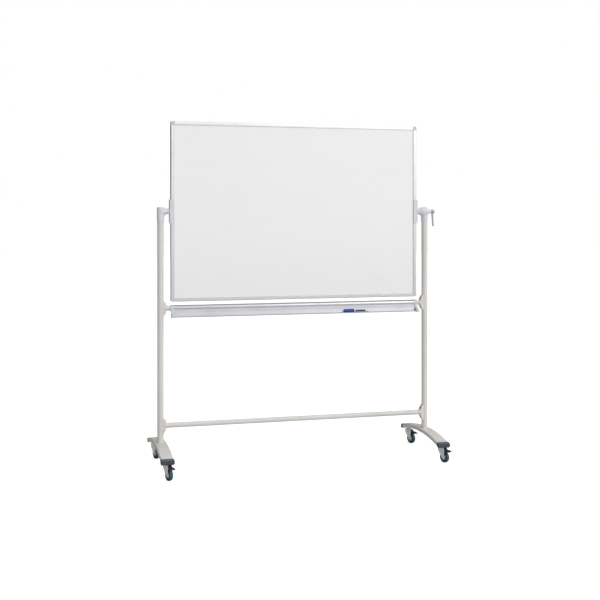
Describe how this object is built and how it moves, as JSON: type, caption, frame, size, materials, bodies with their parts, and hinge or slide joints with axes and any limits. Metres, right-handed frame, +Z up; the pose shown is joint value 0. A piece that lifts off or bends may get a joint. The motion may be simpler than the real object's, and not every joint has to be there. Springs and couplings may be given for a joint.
{
  "type": "rolling whiteboard",
  "caption": "Mobile revolving whiteboard: a two-sided board that turns over between two posts, with a marker tray, arched feet and braked castors.",
  "frame": {"origin": "on the floor, at the middle of the box that the stand fills", "axes": "+X along the board to the right, -Y towards the writer, +Z up"},
  "size_m": [1.6626, 0.6285, 1.9199],
  "materials": {
    "stand_paint": "fine-textured light warm grey powder coat",
    "head_paint": "silver-grey paint on die-cast zinc",
    "frame_aluminium": "satin anodised extrusion",
    "frame_plastic": "light grey moulding",
    "white_enamel": "gloss white enamel on steel sheet",
    "core_board": "paper honeycomb",
    "tray_aluminium": "anodised extrusion with drawn streaks",
    "slate_plastic": "dark slate moulding",
    "black_plastic": "black moulding",
    "zinc_steel": "bright zinc plate",
    "dark_screw": "blackened steel",
    "lever_metal": "grey die-cast zinc",
    "bush_plastic": "natural acetal",
    "pad_brass": "turned brass",
    "hub_plastic": "light grey moulding",
    "tyre_rubber": "dark blue-grey rubber",
    "marker_white": "white moulding",
    "marker_blue": "blue moulding",
    "marker_felt": "inked felt"
  },
  "bodies": {
    "stand": {"left_foot": "stand_paint", "right_foot": "stand_paint", "foot_end_caps": "slate_plastic", "left_post": "stand_paint", "right_post": "stand_paint", "post_plugs": "zinc_steel", "foot_bolts": "zinc_steel", "upper_crossbar": "stand_paint", "lower_crossbar": "stand_paint", "crossbar_brackets": "stand_paint", "bracket_screws": "dark_screw", "left_head": "head_paint", "right_head": "head_paint", "head_set_screws": "dark_screw", "pivot_bushes": "bush_plastic", "clamp_pad": "pad_brass", "tray": "tray_aluminium", "left_tray_cap": "frame_plastic", "right_tray_cap": "frame_plastic", "tray_cap_screws": "dark_screw", "castor_stems": "zinc_steel"},
    "board": {"board_core": "core_board", "front_sheet": "white_enamel", "back_sheet": "white_enamel", "top_rail": "frame_aluminium", "bottom_rail": "frame_aluminium", "left_rail": "frame_aluminium", "right_rail": "frame_aluminium", "board_corner_caps": "frame_plastic", "left_pivot_plate": "head_paint", "right_pivot_plate": "head_paint", "pivot_plate_screws": "dark_screw", "pivot_shafts": "zinc_steel"},
    "clamp_screw": {"clamp_screw": "zinc_steel", "lever_screw": "zinc_steel", "lever_spring": "zinc_steel"},
    "clamp_lever": {"clamp_lever": "lever_metal"},
    "front_left_fork": {"front_left_fork": "zinc_steel", "front_left_axle": "zinc_steel"},
    "front_left_wheel": {"front_left_hub": "hub_plastic", "front_left_tyre": "tyre_rubber"},
    "front_left_brake_pedal": {"front_left_brake_pedal": "black_plastic"},
    "front_right_fork": {"front_right_fork": "zinc_steel", "front_right_axle": "zinc_steel"},
    "front_right_wheel": {"front_right_hub": "hub_plastic", "front_right_tyre": "tyre_rubber"},
    "front_right_brake_pedal": {"front_right_brake_pedal": "black_plastic"},
    "rear_left_fork": {"rear_left_fork": "zinc_steel", "rear_left_axle": "zinc_steel"},
    "rear_left_wheel": {"rear_left_hub": "hub_plastic", "rear_left_tyre": "tyre_rubber"},
    "rear_left_brake_pedal": {"rear_left_brake_pedal": "black_plastic"},
    "rear_right_fork": {"rear_right_fork": "zinc_steel", "rear_right_axle": "zinc_steel"},
    "rear_right_wheel": {"rear_right_hub": "hub_plastic", "rear_right_tyre": "tyre_rubber"},
    "rear_right_brake_pedal": {"rear_right_brake_pedal": "black_plastic"},
    "marker": {"marker_barrel": "marker_white", "marker_nib": "marker_felt"},
    "marker_cap": {"marker_cap": "marker_blue"}
  },
  "joints": [
    {"name": "board_pivot", "type": "hinge", "parent": "stand", "child": "board", "pos_m": [-0.014, 0.016, 1.42], "axis": [1, 0, 0], "continuous": true},
    {"name": "clamp_screw_turn", "type": "hinge", "parent": "stand", "child": "clamp_screw", "pos_m": [0.797, 0.016, 1.42], "axis": [1, 0, 0], "range_deg": [0, 180]},
    {"name": "clamp_lever_lift", "type": "slide", "parent": "clamp_screw", "child": "clamp_lever", "axis": [1, 0, 0], "range_m": [0, 0.0035], "stiffness_N_per_m": 900, "springref_m": -0.003, "deforming": ["lever_spring"]},
    {"name": "front_left_swivel", "type": "hinge", "parent": "stand", "child": "front_left_fork", "pos_m": [-0.795, -0.243, 0.085], "axis": [0, 0, 1], "continuous": true},
    {"name": "front_left_wheel_spin", "type": "hinge", "parent": "front_left_fork", "child": "front_left_wheel", "pos_m": [-0.78679, -0.26555, 0.031], "axis": [0.9397, 0.342, 0], "continuous": true},
    {"name": "front_left_brake", "type": "hinge", "parent": "front_left_fork", "child": "front_left_brake_pedal", "pos_m": [-0.7909, -0.25428, 0.07], "axis": [0.9397, 0.342, 0], "range_deg": [0, 11]},
    {"name": "front_right_swivel", "type": "hinge", "parent": "stand", "child": "front_right_fork", "pos_m": [0.767, -0.243, 0.085], "axis": [0, 0, 1], "continuous": true},
    {"name": "front_right_wheel_spin", "type": "hinge", "parent": "front_right_fork", "child": "front_right_wheel", "pos_m": [0.77521, -0.26555, 0.031], "axis": [0.9397, 0.342, 0], "continuous": true},
    {"name": "front_right_brake", "type": "hinge", "parent": "front_right_fork", "child": "front_right_brake_pedal", "pos_m": [0.7711, -0.25428, 0.07], "axis": [0.9397, 0.342, 0], "range_deg": [0, 11]},
    {"name": "rear_left_swivel", "type": "hinge", "parent": "stand", "child": "rear_left_fork", "pos_m": [-0.795, 0.275, 0.085], "axis": [0, 0, 1], "continuous": true},
    {"name": "rear_left_wheel_spin", "type": "hinge", "parent": "rear_left_fork", "child": "rear_left_wheel", "pos_m": [-0.78679, 0.25245, 0.031], "axis": [0.9397, 0.342, 0], "continuous": true},
    {"name": "rear_left_brake", "type": "hinge", "parent": "rear_left_fork", "child": "rear_left_brake_pedal", "pos_m": [-0.7909, 0.26372, 0.07], "axis": [0.9397, 0.342, 0], "range_deg": [0, 11]},
    {"name": "rear_right_swivel", "type": "hinge", "parent": "stand", "child": "rear_right_fork", "pos_m": [0.767, 0.275, 0.085], "axis": [0, 0, 1], "continuous": true},
    {"name": "rear_right_wheel_spin", "type": "hinge", "parent": "rear_right_fork", "child": "rear_right_wheel", "pos_m": [0.77521, 0.25245, 0.031], "axis": [0.9397, 0.342, 0], "continuous": true},
    {"name": "rear_right_brake", "type": "hinge", "parent": "rear_right_fork", "child": "rear_right_brake_pedal", "pos_m": [0.7711, 0.26372, 0.07], "axis": [0.9397, 0.342, 0], "range_deg": [0, 11]},
    {"name": "marker_lift", "type": "slide", "parent": "stand", "child": "marker", "axis": [0, 0, 1], "range_m": [0, 0.15]},
    {"name": "marker_cap_pull", "type": "slide", "parent": "marker", "child": "marker_cap", "axis": [-1, 0, 0], "range_m": [0, 0.05]}
  ]
}
